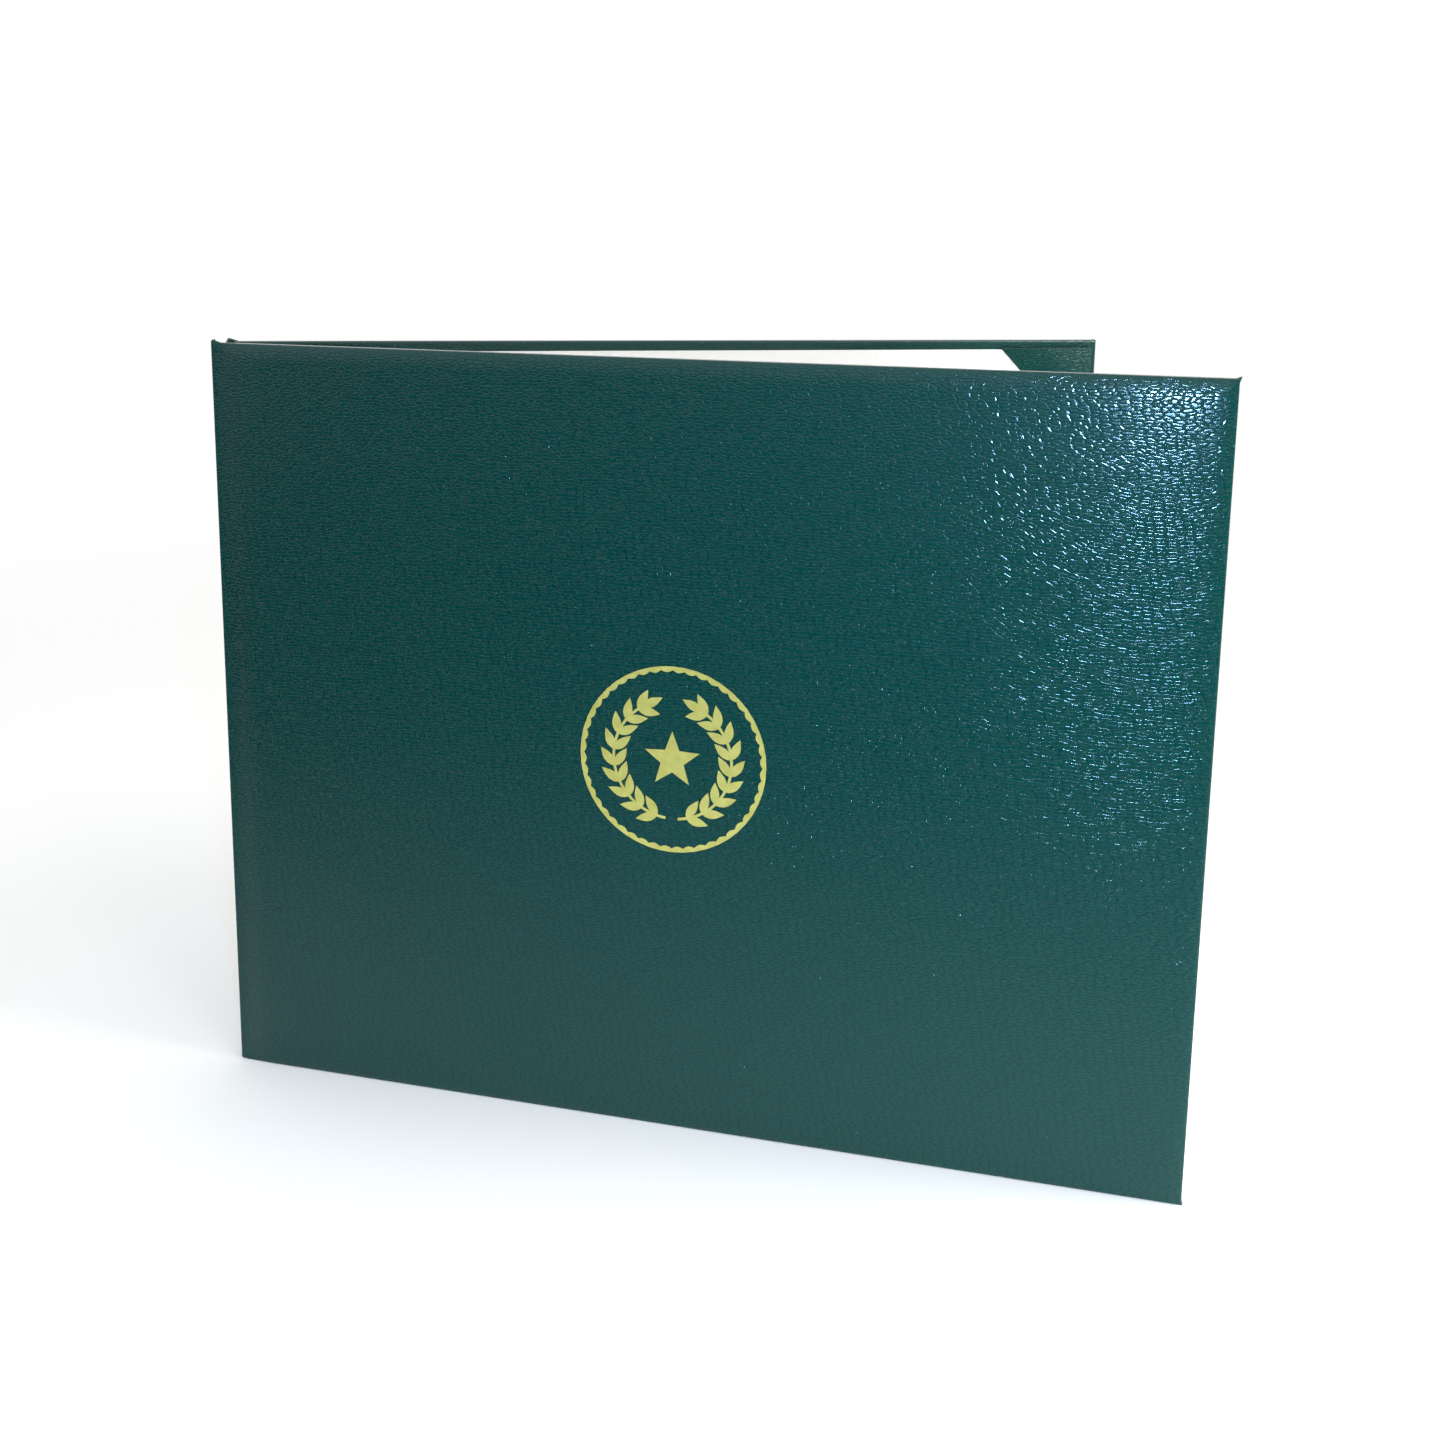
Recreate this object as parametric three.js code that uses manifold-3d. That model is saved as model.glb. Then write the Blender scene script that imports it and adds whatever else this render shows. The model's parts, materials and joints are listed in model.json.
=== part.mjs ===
// Diploma cover: a padded, leatherette-covered certificate holder that opens like a book.
// It stands on its bottom edges, slightly open, with its spine at the left.
// Millimetres, +Z up. The front cover runs along +X and the back cover lies behind it, on the +Y side.
// The origin is on the table, in the middle of the footprint.

import * as THREE from 'three';
import { mergeVertices } from 'three/addons/utils/BufferGeometryUtils.js';
import Module from 'manifold-3d';

const wasm = await Module();
wasm.setup();

// Overall size
const coverWidth = 292;
const coverHeight = 229;
const openAngle = THREE.MathUtils.degToRad(31);

// Layers, from the outer face inwards
const skinThickness = 0.4;
const paddingThickness = 1.2;
const paddingRim = 0.2;
const boardThickness = 1.8;
const panelThickness = 0.8;
const glueLine = 0.1;

// Rim of a cover
const rollWidth = 6;
const rollSteps = 5;
const cornerRadius = 1.2;
const cornerSteps = 3;
const innerEdgeRound = 0.5;
const turnIn = 15;

// Panels and the corners that hold the certificate
const panelMargin = 3.2;
const panelSpineMargin = 6;
const cornerLeg = 34;
const paperRoom = 0.3;

// Spine
const spineBow = 0.6;
const spineSink = 0.9;
const liningThickness = 0.3;
const liningReach = 20;
const liningEndRoom = 0.4;
const foldClearance = 0.1;
const setbackClearance = 0.6;
const closedClearance = 0.5;
const spineSteps = 10;

// Foil emblem
const foilThickness = 0.1;
const foilLift = 0.05;
const emblemDiameter = 55.5;
const emblemOffset = -2;
const ringWidth = 1.1;
const scallopCount = 48;
const scallopHeight = 0.7;
const scallopPoints = 4;
const wreathRadius = 17.6;
const wreathGap = THREE.MathUtils.degToRad(6);
const wreathSweep = THREE.MathUtils.degToRad(146);
const stemWidth = 0.8;
const leafPairs = 9;
const leafSlimness = 0.4;
const leafOverlap = 1.36;
const leafSpread = 0.62;
const leafSteps = 6;
const starRadius = 8.6;
const starWaist = 0.42;
const starPoints = 5;

// Depths below the outer face
const rollDepth = paddingThickness - paddingRim;
const paddingTop = skinThickness + glueLine;
const paddingBottom = paddingTop + paddingThickness;
const boardTop = paddingBottom + glueLine;
const boardBottom = boardTop + boardThickness;
const turnInTop = boardBottom + glueLine;
const wrappedDepth = turnInTop + skinThickness;
const panelTop = wrappedDepth + glueLine;
const panelFace = panelTop + panelThickness;
const cornerUnder = panelFace + paperRoom;
const cornerFace = cornerUnder + skinThickness;

// Spine, worked out so that the covers close flat on each other
const spineWidth = panelFace + cornerFace + closedClearance - 2 * rollDepth;
const spineStack = skinThickness + glueLine + liningThickness;
const boardSetback = spineBow + spineStack + setbackClearance;
const bowRadius = (spineWidth ** 2 / 4 + spineBow ** 2) / (2 * spineBow);
const bowHalfAngle = Math.asin(spineWidth / 2 / bowRadius);
const mitreRun = skinThickness / Math.tan((Math.PI / 2 - bowHalfAngle) / 2);

// Leaves, sized by their spacing along the stem
const leafTurn = wreathSweep / leafPairs;
const leafLength = leafOverlap * leafTurn * wreathRadius;
const leafWidth = leafSlimness * leafLength;

// Panel outline
const panelLeft = boardSetback + panelSpineMargin;
const panelRight = coverWidth - panelMargin;
const panelLow = panelMargin;
const panelHigh = coverHeight - panelMargin;

const leatherette = new THREE.MeshStandardMaterial({ color: 0x06403f, roughness: 0.42, metalness: 0 });
const greyBoard = new THREE.MeshStandardMaterial({ color: 0x9b968b, roughness: 0.95, metalness: 0 });
const foam = new THREE.MeshStandardMaterial({ color: 0xe4e2dc, roughness: 1, metalness: 0 });
const whiteCard = new THREE.MeshStandardMaterial({ color: 0xf6f6f3, roughness: 0.8, metalness: 0 });
const goldFoil = new THREE.MeshStandardMaterial({ color: 0xd9c25a, roughness: 0.25, metalness: 1 });

// Closed mesh to solid and back
function toSolid(geometry) {
  const bare = geometry.clone();
  bare.deleteAttribute('normal');
  bare.deleteAttribute('uv');
  const merged = mergeVertices(bare, 1e-4);
  return new wasm.Manifold(new wasm.Mesh({
    numProp: 3,
    vertProperties: new Float32Array(merged.attributes.position.array),
    triVerts: new Uint32Array(merged.index.array),
  }));
}

function toGeometry(solid) {
  const mesh = solid.getMesh();
  const geometry = new THREE.BufferGeometry();
  geometry.setAttribute('position', new THREE.BufferAttribute(new Float32Array(mesh.vertProperties), 3));
  geometry.setIndex(new THREE.BufferAttribute(new Uint32Array(mesh.triVerts), 1));
  geometry.computeVertexNormals();
  return geometry;
}

// Box between two corners
function slab(low, high) {
  const size = high.map((value, i) => value - low[i]);
  const middle = high.map((value, i) => (value + low[i]) / 2);
  return new THREE.BoxGeometry(...size).translate(...middle);
}

// Plate with an outline drawn on a cover's face, between two depths
function facePlate(shape, top, bottom) {
  const geometry = new THREE.ExtrudeGeometry(shape, { depth: bottom - top, bevelEnabled: false, curveSegments: 24 });
  return geometry.rotateX(Math.PI / 2).translate(0, bottom, 0);
}

// Column with an outline drawn in plan, between two heights
function planColumn(shape, low, high) {
  const settings = { depth: high - low, bevelEnabled: false, curveSegments: spineSteps };
  return new THREE.ExtrudeGeometry(shape, settings).translate(0, 0, low);
}

// Rounded rectangle round a cover, a little inside its edge, at one depth
function coverRing(inset, depth, radius) {
  const corners = [
    [coverWidth - inset - radius, inset + radius, -Math.PI / 2],
    [coverWidth - inset - radius, coverHeight - inset - radius, 0],
    [boardSetback + inset + radius, coverHeight - inset - radius, Math.PI / 2],
    [boardSetback + inset + radius, inset + radius, Math.PI],
  ];
  return corners.flatMap(([x, z, start]) => Array.from({ length: cornerSteps + 1 }, (_, i) => {
    const turn = start + (i / cornerSteps) * (Math.PI / 2);
    return [x + radius * Math.cos(turn), depth, z + radius * Math.sin(turn)];
  }));
}

// Solid through a stack of rings, the deepest ring first
function loft(rings) {
  const count = rings[0].length;
  const last = (rings.length - 1) * count;
  const faces = [];
  for (let level = 0; level < rings.length - 1; level += 1) {
    for (let i = 0; i < count; i += 1) {
      const a = level * count + i;
      const b = level * count + ((i + 1) % count);
      faces.push(a, b, b + count, a, b + count, a + count);
    }
  }
  for (let i = 1; i < count - 1; i += 1) {
    faces.push(0, i + 1, i);
    faces.push(last, last + i, last + i + 1);
  }
  const geometry = new THREE.BufferGeometry();
  geometry.setAttribute('position', new THREE.Float32BufferAttribute(rings.flat(2), 3));
  geometry.setIndex(faces);
  geometry.computeVertexNormals();
  return geometry;
}

// Cover-sized block whose outer face is flat in the middle and rolls off round its rim
function rolledBlock(offset, depth, edgeRound) {
  const radius = cornerRadius - offset;
  const rings = [];
  if (edgeRound > 0) {
    rings.push(coverRing(offset + edgeRound, depth, radius));
  }
  rings.push(coverRing(offset, depth - edgeRound, radius));
  for (let i = 0; i <= rollSteps; i += 1) {
    const turn = (i / rollSteps) * (Math.PI / 2);
    const inset = offset + rollWidth * (1 - Math.cos(turn));
    rings.push(coverRing(inset, offset + rollDepth * (1 - Math.sin(turn)), radius));
  }
  return loft(rings);
}

// Leatherette round one cover: face, rolled rim, wrapped edges, turn-ins and the strip that reaches the fold
function coverSkin() {
  const outside = toSolid(rolledBlock(0, wrappedDepth, innerEdgeRound));
  const core = toSolid(rolledBlock(skinThickness, turnInTop, 0));
  const beyond = boardSetback - 1;
  const spineSide = toSolid(slab(
    [beyond, rollDepth + skinThickness, skinThickness],
    [boardSetback + skinThickness + glueLine, turnInTop, coverHeight - skinThickness],
  ));
  const inside = toSolid(slab(
    [beyond, turnInTop - glueLine, turnIn],
    [coverWidth - turnIn, wrappedDepth + 1, coverHeight - turnIn],
  ));
  const strip = new THREE.Shape();
  strip.moveTo(foldClearance, rollDepth);
  strip.lineTo(boardSetback + skinThickness, rollDepth);
  strip.lineTo(boardSetback + skinThickness, rollDepth + skinThickness);
  strip.lineTo(foldClearance + mitreRun, rollDepth + skinThickness);
  const reach = toSolid(planColumn(strip, 0, coverHeight));
  return toGeometry(outside.subtract(core).subtract(spineSide).add(reach).subtract(inside));
}

function board() {
  const offset = skinThickness + glueLine;
  const radius = cornerRadius - offset;
  return loft([coverRing(offset, boardBottom, radius), coverRing(offset, boardTop, radius)]);
}

function padding() {
  return rolledBlock(paddingTop, paddingBottom, 0);
}

function innerPanel() {
  return slab([panelLeft, panelTop, panelLow], [panelRight, panelFace, panelHigh]);
}

function hingeLining() {
  const low = turnIn + glueLine;
  return slab(
    [boardSetback + skinThickness, turnInTop, low],
    [liningReach, turnInTop + liningThickness, coverHeight - low],
  );
}

// Leatherette triangle folded over one corner of a panel, open along its slanting edge
function panelCorner(x, z, alongX, alongZ) {
  const wrap = glueLine + skinThickness;
  const outline = new THREE.Shape();
  outline.moveTo(x - alongX * wrap, z - alongZ * wrap);
  outline.lineTo(x + alongX * cornerLeg, z - alongZ * wrap);
  outline.lineTo(x + alongX * cornerLeg, z);
  outline.lineTo(x, z + alongZ * cornerLeg);
  outline.lineTo(x - alongX * wrap, z + alongZ * cornerLeg);
  const folded = toSolid(facePlate(outline, panelTop, cornerFace));
  const farX = x + alongX * 2 * cornerLeg;
  const farZ = z + alongZ * 2 * cornerLeg;
  const nearX = x - alongX * glueLine;
  const nearZ = z - alongZ * glueLine;
  const room = toSolid(slab(
    [Math.min(nearX, farX), panelTop - 1, Math.min(nearZ, farZ)],
    [Math.max(nearX, farX), cornerUnder, Math.max(nearZ, farZ)],
  ));
  return toGeometry(folded.subtract(room));
}

// Curved strip between the folds, with its ends held back from them
function spineStrip(top, bottom, topEnd, bottomEnd, low, high) {
  const centreX = spineBow - bowRadius;
  const centreY = rollDepth + spineWidth / 2;
  const outer = bowHalfAngle - topEnd / bowRadius;
  const inner = bowHalfAngle - bottomEnd / bowRadius;
  const strip = new THREE.Shape();
  strip.absarc(centreX, centreY, bowRadius + top, -outer, outer, false);
  strip.absarc(centreX, centreY, bowRadius + bottom, inner, -inner, true);
  return planColumn(strip, low, high);
}

// Soft spine: bowed in between its folds and sunk a little at head and tail
function spineSkin() {
  const strip = spineStrip(0, skinThickness, foldClearance, foldClearance + mitreRun, 0, coverHeight);
  const nearY = rollDepth - 1;
  const farY = rollDepth + spineWidth + 1;
  const middleY = rollDepth + spineWidth / 2;
  const outline = new THREE.Shape();
  outline.moveTo(nearY, 0);
  outline.quadraticCurveTo(middleY, 2 * spineSink, farY, 0);
  outline.lineTo(farY, coverHeight);
  outline.quadraticCurveTo(middleY, coverHeight - 2 * spineSink, nearY, coverHeight);
  const reach = spineBow + spineStack + 1;
  const settings = { depth: 2 * reach, bevelEnabled: false, curveSegments: spineSteps };
  const sunk = new THREE.ExtrudeGeometry(outline, settings);
  sunk.rotateX(Math.PI / 2).rotateZ(Math.PI / 2).translate(-reach, 0, 0);
  return toGeometry(toSolid(strip).intersect(toSolid(sunk)));
}

function spineLining() {
  const top = skinThickness + glueLine;
  const end = foldClearance + mitreRun + liningEndRoom;
  const low = turnIn + glueLine;
  return spineStrip(top, top + liningThickness, end, end, low, coverHeight - low);
}

// Foil ring with a scalloped inner edge
function foilRing() {
  const outerRadius = emblemDiameter / 2;
  const shape = new THREE.Shape();
  shape.absarc(0, 0, outerRadius, 0, 2 * Math.PI, false);
  const count = scallopCount * scallopPoints;
  const inner = Array.from({ length: count }, (_, i) => {
    const turn = (i / count) * 2 * Math.PI;
    const wave = Math.abs(Math.sin((scallopCount * turn) / 2));
    const radius = outerRadius - ringWidth - scallopHeight * wave;
    return new THREE.Vector2(radius * Math.cos(turn), radius * Math.sin(turn));
  });
  shape.holes.push(new THREE.Path(inner));
  return shape;
}

// Pointed leaf from a point on the stem, in a given direction
function leaf(x, z, heading) {
  const outline = [];
  for (let i = 0; i < 2 * leafSteps; i += 1) {
    const along = i <= leafSteps ? i / leafSteps : 2 - i / leafSteps;
    const side = i <= leafSteps ? 1 : -1;
    const half = side * (leafWidth / 2) * Math.sin(Math.PI * along ** 0.85);
    const reach = along * leafLength;
    outline.push(new THREE.Vector2(
      x + reach * Math.cos(heading) - half * Math.sin(heading),
      z + reach * Math.sin(heading) + half * Math.cos(heading),
    ));
  }
  return new THREE.Shape(outline);
}

// Laurel branch: a curved stem with leaves in pairs and one at its tip
function foilBranch(side) {
  const start = -Math.PI / 2 + side * wreathGap;
  const end = start + side * wreathSweep;
  const place = (turn) => [wreathRadius * Math.cos(turn), wreathRadius * Math.sin(turn)];
  const heading = (turn) => turn + (side * Math.PI) / 2;
  const stem = new THREE.Shape();
  stem.absarc(0, 0, wreathRadius + stemWidth / 2, start, end, side < 0);
  stem.absarc(0, 0, wreathRadius - stemWidth / 2, end, start, side > 0);
  const shapes = [stem];
  for (let i = 0; i < leafPairs; i += 1) {
    const turn = start + side * (i + 0.5) * leafTurn;
    const onward = heading(turn + (side * leafTurn) / 2);
    shapes.push(leaf(...place(turn), onward + leafSpread));
    shapes.push(leaf(...place(turn), onward - leafSpread));
  }
  shapes.push(leaf(...place(end - (side * stemWidth) / wreathRadius), heading(end)));
  return shapes;
}

function foilStar() {
  const points = Array.from({ length: 2 * starPoints }, (_, i) => {
    const turn = Math.PI / 2 + (i * Math.PI) / starPoints;
    const radius = i % 2 === 0 ? starRadius : starRadius * starWaist;
    return new THREE.Vector2(radius * Math.cos(turn), radius * Math.sin(turn));
  });
  return new THREE.Shape(points);
}

// Shapes of foil joined into one thin plate on the front cover's face
function foilPlate(shapes) {
  const solids = shapes.map((shape) => toSolid(facePlate(shape, -foilLift - foilThickness, -foilLift)));
  const joined = solids.reduce((whole, solid) => whole.add(solid));
  return toGeometry(joined).translate(coverWidth / 2 + emblemOffset, 0, coverHeight / 2);
}

function piece(name, geometry, material) {
  const mesh = new THREE.Mesh(geometry, material);
  mesh.name = name;
  return mesh;
}

// Pieces that both covers have, in the cover's own frame
function coverPieces(side) {
  return [
    piece(`${side}_skin`, coverSkin(), leatherette),
    piece(`${side}_padding`, padding(), foam),
    piece(`${side}_board`, board(), greyBoard),
    piece(`${side}_hinge_lining`, hingeLining(), leatherette),
    piece(`${side}_inner_panel`, innerPanel(), whiteCard),
  ];
}

const frontCover = new THREE.Group();
frontCover.add(...coverPieces('front'));
frontCover.add(
  piece('foil_ring', foilPlate([foilRing()]), goldFoil),
  piece('foil_branch_left', foilPlate(foilBranch(-1)), goldFoil),
  piece('foil_branch_right', foilPlate(foilBranch(1)), goldFoil),
  piece('foil_star', foilPlate([foilStar()]), goldFoil),
);

const spine = new THREE.Group();
spine.add(
  piece('spine_skin', spineSkin(), leatherette),
  piece('spine_lining', spineLining(), leatherette),
);

// The back cover is the front cover turned over, so its head is at the low end of its own frame
const turnedOver = new THREE.Group();
turnedOver.rotation.x = Math.PI;
turnedOver.position.set(0, rollDepth, coverHeight);
turnedOver.add(...coverPieces('back'));
turnedOver.add(
  piece('corner_top_outer', panelCorner(panelRight, panelLow, -1, 1), leatherette),
  piece('corner_top_spine', panelCorner(panelLeft, panelLow, 1, 1), leatherette),
  piece('corner_bottom_outer', panelCorner(panelRight, panelHigh, -1, -1), leatherette),
  piece('corner_bottom_spine', panelCorner(panelLeft, panelHigh, 1, -1), leatherette),
);
const backCover = new THREE.Group();
backCover.position.set(0, rollDepth + spineWidth, 0);
backCover.rotation.z = openAngle;
backCover.add(turnedOver);

const group = new THREE.Group();
group.add(frontCover, spine, backCover);
group.updateMatrixWorld(true);
const footprint = new THREE.Box3().setFromObject(group, true).getCenter(new THREE.Vector3());
group.position.set(-footprint.x, -footprint.y, 0);

export default group;
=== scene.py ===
# Diploma cover in padded leatherette, standing slightly open on a pale table.
import json
import math

import bmesh
import bpy
from mathutils import Matrix, Vector, noise

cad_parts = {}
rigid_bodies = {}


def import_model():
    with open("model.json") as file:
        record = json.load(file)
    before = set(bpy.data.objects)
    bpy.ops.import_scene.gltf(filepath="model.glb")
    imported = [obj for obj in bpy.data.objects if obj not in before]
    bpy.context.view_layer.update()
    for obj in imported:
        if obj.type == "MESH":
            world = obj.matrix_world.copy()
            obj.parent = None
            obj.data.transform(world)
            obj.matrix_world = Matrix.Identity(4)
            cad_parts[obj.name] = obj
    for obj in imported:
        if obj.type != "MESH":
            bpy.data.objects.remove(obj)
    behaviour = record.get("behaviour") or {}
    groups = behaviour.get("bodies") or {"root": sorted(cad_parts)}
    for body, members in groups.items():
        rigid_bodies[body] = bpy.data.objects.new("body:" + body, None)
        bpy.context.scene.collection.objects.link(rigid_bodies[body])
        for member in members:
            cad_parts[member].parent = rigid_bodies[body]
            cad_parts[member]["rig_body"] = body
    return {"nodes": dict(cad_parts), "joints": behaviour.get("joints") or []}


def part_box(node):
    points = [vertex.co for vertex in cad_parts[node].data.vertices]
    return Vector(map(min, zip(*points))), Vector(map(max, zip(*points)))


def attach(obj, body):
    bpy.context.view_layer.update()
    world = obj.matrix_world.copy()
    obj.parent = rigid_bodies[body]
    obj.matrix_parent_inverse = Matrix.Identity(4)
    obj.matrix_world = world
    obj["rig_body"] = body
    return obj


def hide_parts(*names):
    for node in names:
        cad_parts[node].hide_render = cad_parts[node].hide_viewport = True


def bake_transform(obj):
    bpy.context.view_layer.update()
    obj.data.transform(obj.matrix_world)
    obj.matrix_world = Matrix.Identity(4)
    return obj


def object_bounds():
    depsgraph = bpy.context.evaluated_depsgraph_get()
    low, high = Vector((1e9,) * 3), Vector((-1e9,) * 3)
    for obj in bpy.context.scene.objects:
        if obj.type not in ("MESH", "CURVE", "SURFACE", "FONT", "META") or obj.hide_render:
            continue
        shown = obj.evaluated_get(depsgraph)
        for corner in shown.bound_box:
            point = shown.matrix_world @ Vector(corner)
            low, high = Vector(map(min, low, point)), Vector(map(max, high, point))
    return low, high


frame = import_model()
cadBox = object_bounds()
mm = 0.001
print("frame loaded")


# Colour and node helpers

def hexToLinear(code):
    channels = [int(code[i:i + 2], 16) / 255 for i in (1, 3, 5)]
    linear = [c / 12.92 if c <= 0.04045 else ((c + 0.055) / 1.055) ** 2.4 for c in channels]
    return (*linear, 1.0)


def addNode(tree, kind, inputs=None, **settings):
    node = tree.nodes.new(kind)
    for name, value in settings.items():
        setattr(node, name, value)
    for key, value in (inputs or {}).items():
        if isinstance(value, bpy.types.NodeSocket):
            tree.links.new(value, node.inputs[key])
        else:
            node.inputs[key].default_value = value
    return node


def newMaterial(name):
    material = bpy.data.materials.new(name)
    material.use_nodes = True
    material.node_tree.nodes.clear()
    return material, material.node_tree


def finishMaterial(tree, shader):
    addNode(tree, "ShaderNodeOutputMaterial", {"Surface": shader.outputs[0]})


# The two folds, in metres in the row frame, and how far the back cover is open at rest

foldOf = {joint["name"]: Vector(joint["pos_m"]) for joint in frame["joints"]}
frontFold = foldOf["front_fold"]
backFold = foldOf["back_fold"]
backJoint = next(joint for joint in frame["joints"] if joint["name"] == "back_fold")
openAngle = math.radians(-backJoint["range_deg"][0])
coverHeight = cadBox[1].z / mm
spineWidth = (backFold - frontFold).length / mm
coverWidth = (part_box("front_skin")[1].x - frontFold.x) / mm


# Leatherette: PVC on a woven backing, embossed with a fine straight grain and lacquered. The eye sees short
# level dashes of light where the lacquered tops of the grain catch a lamp, and a deep flat teal elsewhere.
leatherLook = {
    "top": "#003d39",
    # the valley colour is painted shade: darker where the grain dips into its hollows
    "valley": "#00312e",
    "grainLong": 2.6,      # mm along the spine-to-edge direction
    "grainTall": 0.95,     # mm up the cover
    "grainSlant": -0.06,   # radians
    "grainChaos": 0.8,     # 0 for a regular grid, 1 for no order
    "grainDepth": 0.04,    # mm
    "grainBorder": 0.4,    # in grains, from the valley to the flat top of a grain
    "grainPower": 3.2,     # 2 for round tops, more for flatter ones
    "valleyShadeFrom": 0.2,     # in grain depths, where the painted shade of the valleys ends
    "speckSize": 0.75,     # mm, small sharp bumps here and there on the grain
    "speckFrom": 0.6,      # value of the noise where a speck begins
    "speckFull": 0.8,      # value where it is at its full height
    "specks": 1.5,         # in grain depths
    "wanderSize": 7.0,     # mm, how soon the rows of grain wander
    "wander": 0.7,         # in grains, to each side
    "patchSize": 45.0,     # mm, slow changes of gloss
    "roughness": 0.34,
    "patchSmooth": 0.05,   # how much smoother and rougher than that the patches are
    "patchRough": 0.07,
    "ior": 1.5,
    "baseShine": 0.06,     # low, because the lacquer gives the shine
    "coat": 0.72,
    "coatRoughness": 0.11,
}


# Where the grain lies: on the cut sheet by its UVs, or upright along a strip turned about the z axis
def grainPlace(tree, byUv, turn):
    if byUv:
        return addNode(tree, "ShaderNodeUVMap", uv_map="cut").outputs[0]
    seen = addNode(tree, "ShaderNodeTexCoord").outputs["Object"]
    turned = addNode(tree, "ShaderNodeMapping", {"Vector": seen, "Rotation": (0, 0, turn)})
    parts = addNode(tree, "ShaderNodeSeparateXYZ", {0: turned.outputs[0]}).outputs
    return addNode(tree, "ShaderNodeCombineXYZ", {"X": parts["X"], "Y": parts["Z"]}).outputs[0]


def grainHeight(tree, place, look):
    drift = addNode(tree, "ShaderNodeTexNoise", {
        "Vector": place, "Scale": 1 / (look["wanderSize"] * mm), "Detail": 1.5})
    centred = addNode(tree, "ShaderNodeVectorMath", {
        0: drift.outputs["Color"], 1: (0.5, 0.5, 0.5)}, operation="SUBTRACT")
    swing = look["wander"] * look["grainTall"] * mm * 2      # the noise goes half a unit to each side
    shifted = addNode(tree, "ShaderNodeVectorMath", {
        0: centred.outputs[0], 1: (swing, swing, 0), 2: place}, operation="MULTIPLY_ADD")
    grains = addNode(tree, "ShaderNodeMapping", {
        "Vector": shifted.outputs[0], "Rotation": (0, 0, look["grainSlant"]),
        "Scale": (1 / (look["grainLong"] * mm), 1 / (look["grainTall"] * mm), 1)})
    cells = addNode(tree, "ShaderNodeTexVoronoi", {
        "Vector": grains.outputs[0], "Scale": 1.0, "Randomness": look["grainChaos"]},
        voronoi_dimensions="2D", feature="DISTANCE_TO_EDGE")
    border = addNode(tree, "ShaderNodeMapRange", {
        "Value": cells.outputs["Distance"], "From Max": look["grainBorder"], "To Min": 1.0, "To Max": 0.0})
    valley = addNode(tree, "ShaderNodeMath", {
        0: border.outputs[0], 1: look["grainPower"]}, operation="POWER")
    domes = addNode(tree, "ShaderNodeMath", {0: 1.0, 1: valley.outputs[0]}, operation="SUBTRACT")
    bumps = addNode(tree, "ShaderNodeTexNoise", {
        "Vector": place, "Scale": 1 / (look["speckSize"] * mm), "Detail": 0.0})
    specks = addNode(tree, "ShaderNodeMapRange", {
        "Value": bumps.outputs[0], "From Min": look["speckFrom"], "From Max": look["speckFull"]},
        interpolation_type="SMOOTHSTEP")
    return addNode(tree, "ShaderNodeMath", {
        0: specks.outputs[0], 1: look["specks"], 2: domes.outputs[0]}, operation="MULTIPLY_ADD").outputs[0]


def leatherMaterial(name, look, byUv=True, turn=0.0):
    material, tree = newMaterial(name)
    place = grainPlace(tree, byUv, turn)
    height = grainHeight(tree, place, look)
    bump = addNode(tree, "ShaderNodeBump", {
        "Strength": 1.0, "Distance": look["grainDepth"] * mm, "Height": height})
    # Painted shade: the lower a point of the grain lies, the nearer its colour is to the darker valley
    # colour
    shade = addNode(tree, "ShaderNodeMapRange", {
        "Value": height, "From Min": look["valleyShadeFrom"], "From Max": 1.0})
    colour = addNode(tree, "ShaderNodeMix", {
        "Factor": shade.outputs[0], "A": hexToLinear(look["valley"]), "B": hexToLinear(look["top"])},
        data_type="RGBA")
    patches = addNode(tree, "ShaderNodeTexNoise", {
        "Vector": place, "Scale": 1 / (look["patchSize"] * mm), "Detail": 2.0})
    gloss = addNode(tree, "ShaderNodeMapRange", {
        "Value": patches.outputs[0], "To Min": look["roughness"] - look["patchSmooth"],
        "To Max": look["roughness"] + look["patchRough"]})
    shader = addNode(tree, "ShaderNodeBsdfPrincipled", {
        "Base Color": colour.outputs["Result"], "Roughness": gloss.outputs[0], "IOR": look["ior"],
        "Specular IOR Level": look["baseShine"], "Coat Weight": look["coat"],
        "Coat Roughness": look["coatRoughness"], "Normal": bump.outputs[0], "Coat Normal": bump.outputs[0]})
    finishMaterial(tree, shader)
    return material


leather = leatherMaterial("embossed_leatherette", leatherLook)
frontLining = leatherMaterial("lining_leatherette_front", leatherLook, byUv=False)
backLining = leatherMaterial("lining_leatherette_back", leatherLook, byUv=False, turn=-openAngle)


# Paper-faced card: calendered white facing. It looks even and nearly matt, with a faint fibre cloud close
# up. Binder's board: pressed grey pulp, dull and mottled. Foam: cut open cells, pale and quite matt. Both
# are almost hidden, and are made like the card with more contrast.
cardLooks = {
    "white_faced_card": {"face": "#fdfdfc", "shadow": "#f4f4f2", "fibre": 1.6, "roughness": 0.6},
    "grey_binders_board": {"face": "#a5a095", "shadow": "#8c877d", "fibre": 0.9, "roughness": 0.9},
    "open_cell_foam": {"face": "#eeece6", "shadow": "#d5d2ca", "fibre": 0.5, "roughness": 1.0},
}                      # fibre: mm, size of the clouds or cells
fibreRelief = 0.3
fibreDepth = 0.02      # mm


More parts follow.
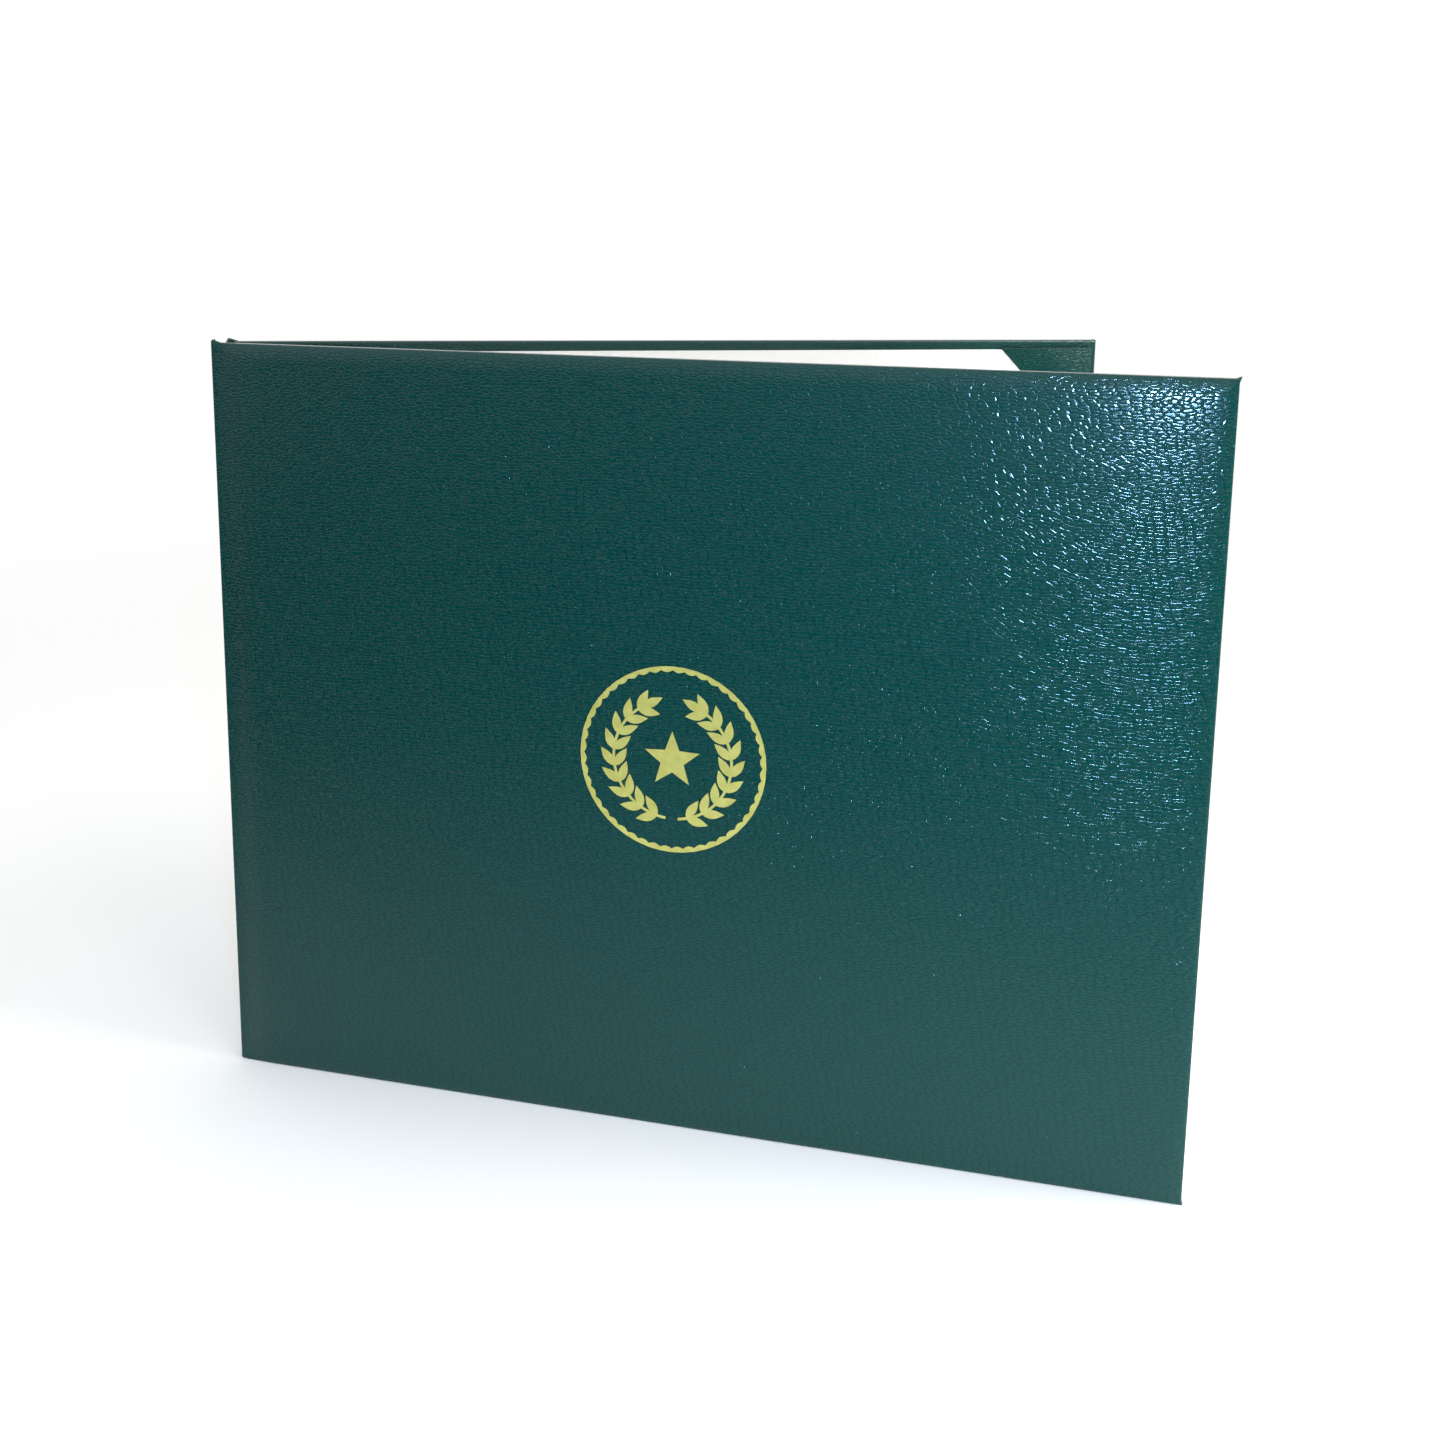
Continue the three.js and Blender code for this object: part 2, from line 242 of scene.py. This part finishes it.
def cardMaterial(name):
    look = cardLooks[name]
    material, tree = newMaterial(name)
    seen = addNode(tree, "ShaderNodeTexCoord").outputs["Object"]
    fibres = addNode(tree, "ShaderNodeTexNoise", {
        "Vector": seen, "Scale": 1 / (look["fibre"] * mm), "Detail": 4.0, "Roughness": 0.6})
    colour = addNode(tree, "ShaderNodeMix", {
        "Factor": fibres.outputs[0], "A": hexToLinear(look["shadow"]), "B": hexToLinear(look["face"])},
        data_type="RGBA")
    bump = addNode(tree, "ShaderNodeBump", {
        "Strength": fibreRelief, "Distance": fibreDepth * mm, "Height": fibres.outputs[0]})
    shader = addNode(tree, "ShaderNodeBsdfPrincipled", {
        "Base Color": colour.outputs["Result"], "Roughness": look["roughness"], "Normal": bump.outputs[0]})
    finishMaterial(tree, shader)
    return material


whiteCard = cardMaterial("white_faced_card")
greyBoard = cardMaterial("grey_binders_board")
foam = cardMaterial("open_cell_foam")


# Hot-stamped foil: vacuum-metallised gold film pressed into the leatherette. It shines like gold lacquer,
# broken up by the grain that shows through it.
foilLook = {
    "gold": "#e6e284",
    "deep": "#bdb85a",
    "blotch": 3.0,         # mm, patches of the two colours
    "metal": 0.4,
    "roughness": 0.32,
    "grain": 0.8,          # mm
    "depth": 0.025,        # mm
}


def foilMaterial(look):
    material, tree = newMaterial("hot_stamped_gold_foil")
    seen = addNode(tree, "ShaderNodeTexCoord").outputs["Object"]
    grain, blotch = (addNode(tree, "ShaderNodeTexNoise", {
        "Vector": seen, "Scale": 1 / (look[size] * mm), "Detail": 2.0}) for size in ("grain", "blotch"))
    colour = addNode(tree, "ShaderNodeMix", {
        "Factor": blotch.outputs[0], "A": hexToLinear(look["deep"]), "B": hexToLinear(look["gold"])},
        data_type="RGBA")
    bump = addNode(tree, "ShaderNodeBump", {
        "Strength": 1.0, "Distance": look["depth"] * mm, "Height": grain.outputs[0]})
    shader = addNode(tree, "ShaderNodeBsdfPrincipled", {
        "Base Color": colour.outputs["Result"], "Metallic": look["metal"], "Roughness": look["roughness"],
        "Normal": bump.outputs[0]})
    finishMaterial(tree, shader)
    return material


goldFoil = foilMaterial(foilLook)
print("materials made")


# Piece helpers

sharpAngle = math.radians(50)      # an edge that bends more than this stays sharp


def addPiece(name, data, material):
    piece = bpy.data.objects.new(name, data)
    bpy.context.scene.collection.objects.link(piece)
    data.materials.clear()
    data.materials.append(material)
    return piece


def applyModifiers(piece):
    bpy.context.view_layer.update()
    seen = bpy.context.evaluated_depsgraph_get()
    made = bpy.data.meshes.new_from_object(piece.evaluated_get(seen), depsgraph=seen)
    piece.modifiers.clear()
    piece.data = made


# Faces between rows of points. Each point's place on the flat cut sheet is its UV.
def joinRows(mesh, layer, rows, cut, side):
    for lower, upper in zip(rows, rows[1:]):
        for i in range(len(lower) - 1):
            corners = (lower[i], lower[i + 1], upper[i + 1], upper[i])
            face = mesh.faces.new(corners if side == "front" else corners[::-1])
            face.smooth = True
            for loop in face.loops:
                loop[layer].uv = cut[loop.vert]


def finishSheet(name, mesh, thickness):
    data = bpy.data.meshes.new(name)
    mesh.to_mesh(data)
    mesh.free()
    piece = addPiece(name, data, leather)
    solid = piece.modifiers.new("thickness", "SOLIDIFY")
    solid.thickness = thickness * mm
    solid.offset = -1
    applyModifiers(piece)
    piece.data.set_sharp_from_angle(angle=sharpAngle)
    return piece


# From a cover's own frame to the row frame: x goes from its fold to its fore edge, y inwards from its outer
# face, and z up, all in mm
rim = 1.0          # mm from the outer face down to the fold


def toRow(side, x, y, z):
    if side == "front":
        return Vector((frontFold.x + x * mm, frontFold.y + (y - rim) * mm, z * mm))
    along = Vector((math.cos(openAngle), math.sin(openAngle), 0))
    inward = Vector((math.sin(openAngle), -math.cos(openAngle), 0))
    foot = Vector((backFold.x, backFold.y, z * mm))
    return foot + along * x * mm + inward * (y - rim) * mm


# Leatherette wrapped round one cover, as one sheet: turned in, round the edge, over the padded rim and
# across the face. Lengths are in mm.
wrapLook = {
    "start": 2.0,          # mm, where the board begins beside the fold
    "wrapped": 4.1,        # mm, depth of the wrapped board
    "turnIn": 15.0,
    "edgeRound": 0.8,
    "rollWidth": 6.0,
    "rollPower": 2.6,
    "shoulderWidth": 9.0,  # mm, soft slope from the face down to the fold
    "cornerRadius": 1.2,
    "thickness": 0.4,
    "unevenness": 0.1,     # mm, slow waves in the padded face
    "waveSize": 38.0,      # mm
    "waveSeed": {"front": 0.0, "back": 40.0},
    "mitreSink": 0.22,     # mm, groove along each mitred corner of the turn-in
    "mitreFrom": 1.0,      # mm from the edge
    "ears": {"front": (1.3, 1.1), "back": (0.7, 0.6)},   # mm, pinched corners: head, tail
    "earReach": 2.5,       # mm from the edge
    "earFrom": 0.15,       # mm below the face
    "weld": 0.001,         # mm
    "turnInRows": (12, 9, 6, 4, 2.4, 1.4),                        # mm from the edge
    "shoulderPoints": (0, 0.6, 1.3, 2.1, 3, 4, 5, 6, 7, 8, 9),    # mm from the board's start
    "shoulderRoom": 60.0,  # mm, on a shorter row these points move together
    "facePitch": 5.0,      # mm between rows on the face
    "edgeSteps": 5,
    "rollSteps": 10,
    "cornerSteps": 8,
    "longSteps": 54,
    "tallSteps": 44,
}


# Share of the rim's depth at a distance from the edge, from 1 at the edge to 0 on the face
def rollShare(distance, look):
    if distance >= look["rollWidth"]:
        return 0.0
    power = look["rollPower"]
    return 1 - max(0.0, 1 - (1 - distance / look["rollWidth"]) ** power) ** (1 / power)


# Soft slope from 1 to 0
def shoulder(share):
    share = min(1.0, max(0.0, share))
    return 1 - share * share * (3 - 2 * share)


# The rows of the sheet: inset from the edge, depth below the face, and inset on the flat cut sheet
def wrapStations(look):
    wrapped, roundOff, roll = look["wrapped"], look["edgeRound"], look["rollWidth"]
    stations = [(inset, wrapped) for inset in (look["turnIn"], *look["turnInRows"])]
    for i in range(look["edgeSteps"] + 1):
        turn = i / look["edgeSteps"] * math.pi / 2
        stations.append((roundOff * (1 - math.sin(turn)), wrapped - roundOff * (1 - math.cos(turn))))
    stations.append((0, (wrapped - roundOff + rim) / 2))
    for i in range(look["rollSteps"] + 1):
        inset = roll * (1 - math.cos(i / look["rollSteps"] * math.pi / 2))
        stations.append((inset, rim * rollShare(inset, look)))
    flatHalf = coverHeight / 2 - roll
    steps = round(flatHalf / look["facePitch"])
    stations += [(roll + flatHalf * i / steps, 0) for i in range(1, steps + 1)]
    unfolded = [stations[-1][0]]
    for (inset, depth), (nextInset, nextDepth) in zip(stations[::-1], stations[-2::-1]):
        unfolded.append(unfolded[-1] - math.hypot(inset - nextInset, depth - nextDepth))
    return [(inset, depth, flat) for (inset, depth), flat in zip(stations, unfolded[::-1])]


# One row round three sides of a cover, from tail to head. The third value is 0 along the sides, and goes to
# -1 in the middle of the tail's corner and to 1 in the middle of the head's.
def wrapPath(look, inset):
    left, right = look["start"], coverWidth - inset
    low, high = inset, coverHeight - inset
    radius = max(0.0, min(look["cornerRadius"], (high - low) / 2))
    bend = right - radius
    squeeze = min(1, (bend - left) / look["shoulderRoom"])
    xs = [left + x * squeeze for x in look["shoulderPoints"]]
    near, steps = xs[-1], look["longSteps"]
    xs += [near + (bend - near) * i / steps for i in range(1, steps + 1)]
    turns = [i / look["cornerSteps"] * math.pi / 2 for i in range(1, look["cornerSteps"])]
    path = [(x, low, 0.0) for x in xs]
    for turn in turns:
        path.append((bend + radius * math.sin(turn), low + radius - radius * math.cos(turn),
                     -math.sin(2 * turn) ** 3))
    tall, steps = high - low - 2 * radius, look["tallSteps"]
    path += [(right, low + radius + tall * i / steps, 0.0) for i in range(steps + 1)]
    for turn in turns:
        path.append((bend + radius * math.cos(turn), high - radius + radius * math.sin(turn),
                     math.sin(2 * turn) ** 3))
    return path + [(x, high, 0.0) for x in xs[::-1]]


# Depth at a point of the padded face: its rim, its slope down to the fold, and slow waves in between
def faceDepth(side, look, x, z, depth):
    spineRoll = rim * shoulder((x - look["start"]) / look["shoulderWidth"])
    deep = rim - (rim - depth) * (rim - spineRoll) / rim
    calm = (rim - deep) / rim
    wave = noise.noise(Vector((x / look["waveSize"] + look["waveSeed"][side], z / look["waveSize"], 0.0)))
    return deep + look["unevenness"] * wave * calm


# How far the leatherette that is pinched at a corner stands out, in mm along each side
def earPush(side, look, inset, depth, corner):
    if inset >= look["earReach"] or depth <= look["earFrom"]:
        return 0.0
    head, tail = look["ears"][side]
    bulge = math.sin(math.pi * min(1, depth / look["wrapped"])) ** 0.5
    fade = (1 - inset / look["earReach"]) * bulge
    return (head if corner > 0 else tail) * abs(corner) * fade * math.sqrt(0.5)


def wrapCover(side, look):
    mesh = bmesh.new()
    layer = mesh.loops.layers.uv.new("cut")
    rows, cut = [], {}
    for inset, depth, flat in wrapStations(look):
        row = []
        places = zip(wrapPath(look, inset), wrapPath(look, flat))
        for (x, z, corner), (flatX, flatZ, _) in places:
            deep = depth
            if depth <= rim:
                deep = faceDepth(side, look, x, z, depth)
            elif inset > look["mitreFrom"]:
                deep -= look["mitreSink"] * abs(corner)
            push = earPush(side, look, inset, depth, corner)
            x += push
            z += math.copysign(push, corner)
            vertex = mesh.verts.new(toRow(side, x, deep, max(z, 0.0)))
            cut[vertex] = (flatX * mm, flatZ * mm)
            row.append(vertex)
        rows.append(row)
    joinRows(mesh, layer, rows, cut, side)
    bmesh.ops.remove_doubles(mesh, verts=mesh.verts, dist=look["weld"] * mm)
    bmesh.ops.dissolve_degenerate(mesh, edges=mesh.edges, dist=look["weld"] * mm)
    return finishSheet(f"{side}_leather", mesh, look["thickness"])


for side in ("front", "back"):
    covering = wrapCover(side, wrapLook)
    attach(covering, f"{side}_cover")
    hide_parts(f"{side}_skin")
print("covers wrapped")


# Leatherette over half of the soft spine and round one fold, to where the board begins. Lengths are in mm.
spineLook = {
    "bow": 0.6,            # mm that the spine bows in
    "sink": 1.0,           # mm that its head and tail sink between the folds
    "foldRound": 0.9,
    "foldMiddle": 0.8,     # in fold rounds, from the end of the bow to the middle of the fold
    "turnIn": 15.0,
    "foldBack": 0.9,       # mm, depth of the turned-in head and tail
    "thickness": 0.4,
    "tuck": 1.0,           # mm that the strip runs on under the cover's sheet
    "tuckDepths": (0.05, 0.12),          # mm below the fold, half way along the tuck and at its end
    "ear": 0.9,            # mm that the pinched leatherette stands up at the head of a fold
    "earWidth": 2.2,       # mm
    "earDrop": 5.0,        # mm down from the head
    "crease": 0.12,        # mm
    "creaseWidth": 0.75,   # mm
    "bendOnSpine": 0.7,    # mm from the fold, where the bend between the two bodies starts and ends
    "bendOnCover": 0.75,
    "turnInRows": (10, 6, 3, 1.5),       # mm from the head or tail
    "faceRows": (1.5, 4, 9),             # mm from the head or tail
    "tallSteps": 28,
    "foldBackSteps": 6,
    "bowSteps": 12,
    "foldSteps": 8,
    "boardSteps": 4,
}


# The outer surface in plan, from the spine's middle to the board, and each point's inward normal
def spinePlan(look, opening):
    bow, half = look["bow"], spineWidth / 2
    radius = (half ** 2 + bow ** 2) / (2 * bow)
    up = Vector((-math.sin(opening), math.cos(opening)))
    inward = Vector((math.cos(opening), math.sin(opening)))
    fold = Vector((0.0, rim))
    centre = fold + up * half + inward * (bow - radius)
    sweep = math.asin(half / radius)
    held = look["foldRound"] / radius
    plan = []
    for i in range(look["bowSteps"] + 1):
        turn = i / look["bowSteps"] * (sweep - held)
        plan.append(centre + inward * radius * math.cos(turn) - up * radius * math.sin(turn))
    near, far = plan[-1], fold + Vector((look["foldRound"], 0))
    for i in range(1, look["foldSteps"] + 1):
        t = i / look["foldSteps"]
        plan.append(near * (1 - t) ** 2 + fold * 2 * t * (1 - t) + far * t * t)
    board, steps = wrapLook["start"], look["boardSteps"]
    flat = board - look["foldRound"]
    plan += [fold + Vector((look["foldRound"] + flat * i / steps, 0)) for i in range(1, steps + 1)]
    halfTucked, tucked = look["tuckDepths"]
    plan.append(fold + Vector((board + look["tuck"] / 2, halfTucked)))
    plan.append(fold + Vector((board + look["tuck"], tucked)))
    normals = [inward]
    for before, after in zip(plan, plan[2:]):
        ahead = after - before
        normals.append(Vector((-ahead.y, ahead.x)).normalized())
    normals.append(Vector((0, 1)))
    return plan, normals


# The rows of the strip: height, and depth behind the outer surface, from the turned-in tail to the head's
def spineStations(look):
    small = look["foldBack"] / 2
    tail = [(z, look["foldBack"]) for z in (look["turnIn"], *look["turnInRows"])]
    for i in range(look["foldBackSteps"] + 1):
        turn = i / look["foldBackSteps"] * math.pi
        tail.append((small - small * math.sin(turn), small + small * math.cos(turn)))
    tail += [(z, 0.0) for z in look["faceRows"]]
    low, steps = look["faceRows"][-1], look["tallSteps"]
    middle = [(low + (coverHeight - 2 * low) * i / steps, 0.0) for i in range(1, steps)]
    return tail + middle + [(coverHeight - z, deep) for z, deep in tail[::-1]]


def spineHalf(side, look):
    plan, normals = spinePlan(look, 0.0 if side == "front" else openAngle)
    lengths = [0.0]
    for start, end in zip(plan, plan[1:]):
        lengths.append(lengths[-1] + (end - start).length)
    foldAt = lengths[look["bowSteps"]] + look["foldRound"] * look["foldMiddle"]
    stations = spineStations(look)
    mesh = bmesh.new()
    layer = mesh.loops.layers.uv.new("cut")
    rows, cut = [], {}
    unfolded = 0.0
    for n, (z, deep) in enumerate(stations):
        if n:
            unfolded += math.hypot(z - stations[n - 1][0], deep - stations[n - 1][1])
        headShare = max(0.0, 1 - (coverHeight - z) / look["earDrop"])
        row = []
        for place, normal, length in zip(plan, normals, lengths):
            sinkShare = max(0.0, 1 - (length / foldAt) ** 2)
            height = z + look["sink"] * sinkShare * (1 - 2 * z / coverHeight)
            height += look["ear"] * math.exp(-((length - foldAt) / look["earWidth"]) ** 2) * headShare
            crease = look["crease"] * math.exp(-((length - foldAt) / look["creaseWidth"]) ** 2)
            point = place + normal * deep
            if deep == 0:
                point -= normal * crease
            vertex = mesh.verts.new(toRow(side, point.x, point.y, height))
            flatX = wrapLook["start"] + look["tuck"] - (lengths[-1] - length)
            cut[vertex] = (flatX * mm, (unfolded - look["turnIn"]) * mm)
            row.append(vertex)
        rows.append(row)
    joinRows(mesh, layer, rows, cut, side)
    return finishSheet(f"spine_leather_{side}", mesh, look["thickness"])


def bendAcrossFold(piece):
    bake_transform(piece)


for side in ("front", "back"):
    half = spineHalf(side, spineLook)
    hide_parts("spine_skin")
    bendAcrossFold(half)
print("spine covered")


# Foam under each cover's leatherette. It stops short of the fold, so that the leatherette slopes down
# softly there.
foamStart = 6.5        # mm from the fold


def addFoam(side):
    data = frame["nodes"][f"{side}_padding"].data.copy()
    fold = toRow(side, 0, rim, 0)
    along = (toRow(side, 1, rim, 0) - fold).normalized()
    reach = [(vertex.co - fold).dot(along) for vertex in data.vertices]
    near, far = min(reach), max(reach)
    shrink = (far - foamStart * mm) / (far - near)
    for vertex, place in zip(data.vertices, reach):
        vertex.co += along * (far - place) * (1 - shrink)
    piece = addPiece(f"{side}_foam", data, foam)
    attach(piece, f"{side}_cover")
    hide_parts(f"{side}_padding")


for side in ("front", "back"):
    addFoam(side)
print("foam laid")


# Corners that hold the certificate: their CAD shape, with the edges eased as folded leatherette has them
cornerLook = {
    "edge": 0.28,          # mm
    "edgeSegments": 3,
    "weld": 0.002,         # mm, between points that the CAD mesh has twice
    "flat": 0.5,           # degrees, faces that bend less than this become one
}


def easeCorner(node, look):
    source = frame["nodes"][node]
    mesh = bmesh.new()
    mesh.from_mesh(source.data)
    bmesh.ops.remove_doubles(mesh, verts=mesh.verts, dist=look["weld"] * mm)
    bmesh.ops.dissolve_limit(
        mesh, angle_limit=math.radians(look["flat"]), verts=mesh.verts, edges=mesh.edges)
    data = bpy.data.meshes.new(f"{node}_eased")
    mesh.to_mesh(data)
    mesh.free()
    piece = addPiece(f"{node}_eased", data, backLining)
    bevel = piece.modifiers.new("edge", "BEVEL")
    bevel.width = look["edge"] * mm
    bevel.segments = look["edgeSegments"]
    bevel.limit_method = "ANGLE"
    bevel.angle_limit = sharpAngle
    bevel.use_clamp_overlap = True
    applyModifiers(piece)
    piece.data.shade_smooth()
    piece.data.set_sharp_from_angle(angle=sharpAngle)
    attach(piece, source["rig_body"])
    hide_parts(node)


for node in ("corner_top_outer", "corner_top_spine", "corner_bottom_outer", "corner_bottom_spine"):
    easeCorner(node, cornerLook)
print("corners eased")


# Pieces whose CAD shape is right as it is

def dress(node, material):
    data = frame["nodes"][node].data
    data.materials.clear()
    data.materials.append(material)


for side, lining in (("front", frontLining), ("back", backLining)):
    dress(f"{side}_hinge_lining", lining)
    dress(f"{side}_inner_panel", whiteCard)
    dress(f"{side}_board", greyBoard)
dress("spine_lining", frontLining)
for node in ("foil_ring", "foil_branch_left", "foil_branch_right", "foil_star"):
    dress(node, goldFoil)
print("panels, boards, linings and foil dressed")


# Camera: the photograph's place, worked out from the cover's corners
cameraLook = {
    "place": (267.2, -409.85, 260.24),   # mm in the front cover's frame
    "yaw": -13.876,        # degrees
    "pitch": 10.113,
    "roll": 0.978,
    "focal": 1558.8,       # pixels
    "centre": (750.7, 522.5),            # pixels from the left and the top
    "frame": 1445,         # pixels each way
    "sensor": 36,          # mm
    "clip": (0.01, 100),   # m
}


def addCamera(look):
    yaw, pitch, roll = (math.radians(look[key]) for key in ("yaw", "pitch", "roll"))
    forward = Vector((math.sin(yaw) * math.cos(pitch), math.cos(yaw) * math.cos(pitch), -math.sin(pitch)))
    right = Vector((math.cos(yaw), -math.sin(yaw), 0))
    up = right.cross(forward)
    rolledRight = right * math.cos(roll) + up * math.sin(roll)
    rolledUp = up * math.cos(roll) - right * math.sin(roll)
    data = bpy.data.cameras.new("camera")
    data.sensor_width = look["sensor"]
    data.lens = look["focal"] / look["frame"] * look["sensor"]
    data.shift_x = -(look["centre"][0] / look["frame"] - 0.5)
    data.shift_y = look["centre"][1] / look["frame"] - 0.5
    data.clip_start, data.clip_end = look["clip"]
    camera = bpy.data.objects.new("camera", data)
    turned = Matrix((rolledRight, rolledUp, -forward)).transposed().to_4x4()
    camera.matrix_world = Matrix.Translation(toRow("front", *look["place"])) @ turned
    bpy.context.scene.collection.objects.link(camera)
    bpy.context.scene.camera = camera


addCamera(cameraLook)


# Floor: a plain pale table, overexposed to white. A little way in front of the part its colour is painted
# dark, as painted shade, so that it throws less light up the cover. To glossy rays it goes dark sooner, a
# painted reflection that shows as the pale veil that ends half way up the cover. To the camera it turns
# into the white background further out.
floorLook = {
    "colour": "#f4f4f2",
    # dark: painted shade, the floor's colour further in front of the part
    "dark": "#0d0d0d",
    "roughness": 0.8,
    "shine": 0.1,
    "size": 12.0,          # m
    "fadeFrom": 0.4,       # m from the part, where the camera sees it turn into the background
    "fadeTo": 1.1,
    "paintedShadeFrom": 0.24,      # m in front, where the painted shade begins, as the floor lights the part
    "paintedShadeTo": 0.5,
    "sheenFrom": 0.04,     # m in front, where the painted reflection begins to fade, as the lacquer mirrors the floor
    "sheenTo": 0.38,
}


def tableMaterial(look):
    material, tree = newMaterial("pale_table")
    seen = addNode(tree, "ShaderNodeTexCoord").outputs["Object"]
    ray = addNode(tree, "ShaderNodeLightPath")
    ahead = addNode(tree, "ShaderNodeVectorMath", {0: seen, 1: (0, -1, 0)}, operation="DOT_PRODUCT")
    # Painted shade: a little way in front of the part the floor's colour goes dark
    table = addNode(tree, "ShaderNodeMapRange", {
        "Value": ahead.outputs["Value"], "From Min": look["paintedShadeFrom"], "From Max": look["paintedShadeTo"],
        "To Min": 1.0, "To Max": 0.0}, interpolation_type="SMOOTHSTEP")
    # Painted reflection: glossy rays see the floor go dark sooner, and the lacquer mirrors this as a veil
    mirrored = addNode(tree, "ShaderNodeMapRange", {
        "Value": ahead.outputs["Value"], "From Min": look["sheenFrom"], "From Max": look["sheenTo"],
        "To Min": 1.0, "To Max": 0.0})
    shown = addNode(tree, "ShaderNodeMix", {
        "Factor": ray.outputs["Is Glossy Ray"], "A": table.outputs[0], "B": mirrored.outputs[0]})
    colour = addNode(tree, "ShaderNodeMix", {
        "Factor": shown.outputs[0], "A": hexToLinear(look["dark"]), "B": hexToLinear(look["colour"])},
        data_type="RGBA")
    away = addNode(tree, "ShaderNodeVectorMath", {0: seen}, operation="LENGTH").outputs["Value"]
    fade = addNode(tree, "ShaderNodeMapRange", {
        "Value": away, "From Min": look["fadeFrom"], "From Max": look["fadeTo"]},
        interpolation_type="SMOOTHSTEP")
    far = addNode(tree, "ShaderNodeMath", {0: 1.0, 1: table.outputs[0]}, operation="SUBTRACT")
    plain = addNode(tree, "ShaderNodeMath", {0: fade.outputs[0], 1: far.outputs[0]}, operation="MAXIMUM")
    seenShare = addNode(tree, "ShaderNodeMath", {
        0: plain.outputs[0], 1: ray.outputs["Is Camera Ray"]}, operation="MULTIPLY")
    matt = addNode(tree, "ShaderNodeBsdfPrincipled", {
        "Base Color": colour.outputs["Result"], "Roughness": look["roughness"],
        "Specular IOR Level": look["shine"]})
    white = addNode(tree, "ShaderNodeEmission", {"Color": (1, 1, 1, 1), "Strength": 1.0})
    mixed = addNode(tree, "ShaderNodeMixShader", {
        0: seenShare.outputs[0], 1: matt.outputs[0], 2: white.outputs[0]})
    finishMaterial(tree, mixed)
    return material


def addFloor(look):
    half = look["size"] / 2
    corners = [(-half, -half, 0), (half, -half, 0), (half, half, 0), (-half, half, 0)]
    data = bpy.data.meshes.new("floor")
    data.from_pydata(corners, [], [(0, 1, 2, 3)])
    floor = addPiece("floor", data, tableMaterial(look))


addFloor(floorLook)


# Light: a pale ceiling over a dim room, a low lamp from the right, a high one on the right that lights the
# inside, a dim pale wall on the left, and a small bluish lamp beside the camera that lights up the grain
# toward the head of the fore edge. Places and sizes are in metres, and power is in watts.
lightLook = {
    "ceiling": 1.85,
    "ceilingFrom": 0.45,   # height on a unit sphere where the ceiling begins, and where it is full
    "ceilingTo": 0.9,
    "horizon": 0.02,
    "lamps": {
        "low_lamp": {
            "place": (0.45, -0.5, 0.08), "aim": (0.1, -0.08, 0.06), "size": 0.2, "power": 2.8,
            "colour": "#fffcf6", "mirrored": False},
        "inside_lamp": {
            "place": (0.6, -0.06, 0.6), "aim": (0, 0, 0.2), "size": 0.3, "power": 3,
            "colour": "#ffffff", "mirrored": True},
        "wall_lamp": {
            "place": (-0.9, -0.7, 0.2), "aim": (-0.14, -0.08, 0.1), "size": 0.8, "power": 0.34,
            "colour": "#ffffff", "mirrored": True},
        "glint_lamp": {
            "place": (0.141, -0.49, 0.205), "aim": (0.13, -0.08, 0.2), "size": 0.03, "power": 1.05,
            "colour": "#98caff", "mirrored": True},
    },
}


def addLamp(name, look):
    data = bpy.data.lights.new(name, "AREA")
    data.shape = "DISK"
    data.size = look["size"]
    data.energy = look["power"]
    data.color = hexToLinear(look["colour"])[:3]
    lamp = bpy.data.objects.new(name, data)
    place, aim = Vector(look["place"]), Vector(look["aim"])
    lamp.location = place
    lamp.rotation_mode = "QUATERNION"
    lamp.rotation_quaternion = (aim - place).to_track_quat("-Z", "Y")
    lamp.visible_camera = False
    lamp.visible_glossy = look["mirrored"]
    bpy.context.scene.collection.objects.link(lamp)


def addRoom(look):
    world = bpy.data.worlds.new("room")
    world.use_nodes = True
    tree = world.node_tree
    tree.nodes.clear()
    seen = addNode(tree, "ShaderNodeTexCoord").outputs["Generated"]
    upward = addNode(tree, "ShaderNodeSeparateXYZ", {0: seen}).outputs["Z"]
    lit = addNode(tree, "ShaderNodeMapRange", {
        "Value": upward, "From Min": look["ceilingFrom"], "From Max": look["ceilingTo"],
        "To Min": look["horizon"], "To Max": look["ceiling"]},
        interpolation_type="SMOOTHSTEP")
    ray = addNode(tree, "ShaderNodeLightPath")
    through = addNode(tree, "ShaderNodeMath", {
        0: ray.outputs["Is Glossy Ray"], 1: ray.outputs["Is Transmission Ray"]}, operation="MAXIMUM")
    shown = addNode(tree, "ShaderNodeMath", {
        0: ray.outputs["Is Camera Ray"], 1: through.outputs[0]}, operation="MAXIMUM")
    strength = addNode(tree, "ShaderNodeMix", {"Factor": shown.outputs[0], "A": lit.outputs[0], "B": 1.0})
    back = addNode(tree, "ShaderNodeBackground", {
        "Color": (1, 1, 1, 1), "Strength": strength.outputs[0]})
    addNode(tree, "ShaderNodeOutputWorld", {"Surface": back.outputs[0]})
    bpy.context.scene.world = world


for name, look in lightLook["lamps"].items():
    addLamp(name, look)
addRoom(lightLook)
bpy.context.scene.view_settings.view_transform = "Standard"
print("camera and light set")
